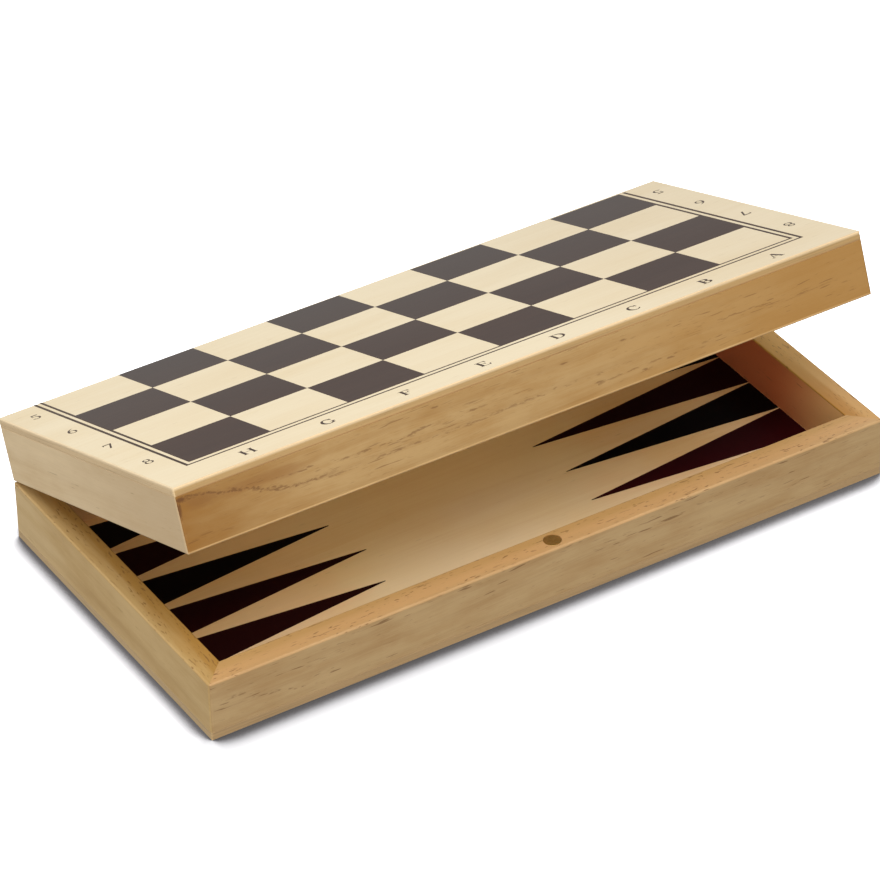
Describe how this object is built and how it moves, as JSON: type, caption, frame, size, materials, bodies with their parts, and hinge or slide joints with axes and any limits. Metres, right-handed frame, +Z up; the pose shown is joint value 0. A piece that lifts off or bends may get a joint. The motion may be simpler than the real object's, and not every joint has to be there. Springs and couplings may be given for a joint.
{
  "type": "folding games box",
  "caption": "Folding wooden games box standing ajar: two shallow hinged trays, a chessboard on the outer faces and backgammon points on the inner floors.",
  "frame": {"origin": "centre of the lower tray's bottom face", "axes": "+X along the hinge, to the right seen from the front; +Y from the front towards the hinge; +Z up"},
  "size_m": [0.344, 0.1822, 0.1176],
  "materials": {
    "rail_wood": "light pine rails with fine brown flecks along the grain, thin satin lacquer",
    "board_core": "light wood core of the board, only its edge shows",
    "chess_face": "pale cream veneer, screen printed with a dark brown chessboard, satin lacquer",
    "inner_face": "tan veneer, screen printed with black and maroon backgammon points, satin lacquer",
    "brass": "pressed brass, lightly brushed",
    "pin_brass": "drawn brass wire",
    "screw_brass": "turned brass, bright",
    "magnet_metal": "plated magnet disc, dull dark gold"
  },
  "bodies": {
    "lower": {"lower_front_wall": "rail_wood", "lower_back_wall": "rail_wood", "lower_left_wall": "rail_wood", "lower_right_wall": "rail_wood", "lower_panel_core": "board_core", "lower_backgammon_face": "inner_face", "lower_chess_face": "chess_face", "lower_magnet": "magnet_metal", "left_hinge_lower_leaf": "brass", "right_hinge_lower_leaf": "brass", "left_hinge_pin": "pin_brass", "right_hinge_pin": "pin_brass", "lower_hinge_screws": "screw_brass"},
    "lid": {"lid_front_wall": "rail_wood", "lid_back_wall": "rail_wood", "lid_left_wall": "rail_wood", "lid_right_wall": "rail_wood", "lid_panel_core": "board_core", "lid_backgammon_face": "inner_face", "lid_chess_face": "chess_face", "lid_magnet": "magnet_metal", "left_hinge_lid_leaf": "brass", "right_hinge_lid_leaf": "brass", "lid_hinge_screws": "screw_brass"}
  },
  "joints": [
    {"name": "lid_hinge", "type": "hinge", "parent": "lower", "child": "lid", "pos_m": [0, 0.08615, 0.02965], "axis": [-1, 0, 0], "range_deg": [-20.5, 159.5]}
  ]
}
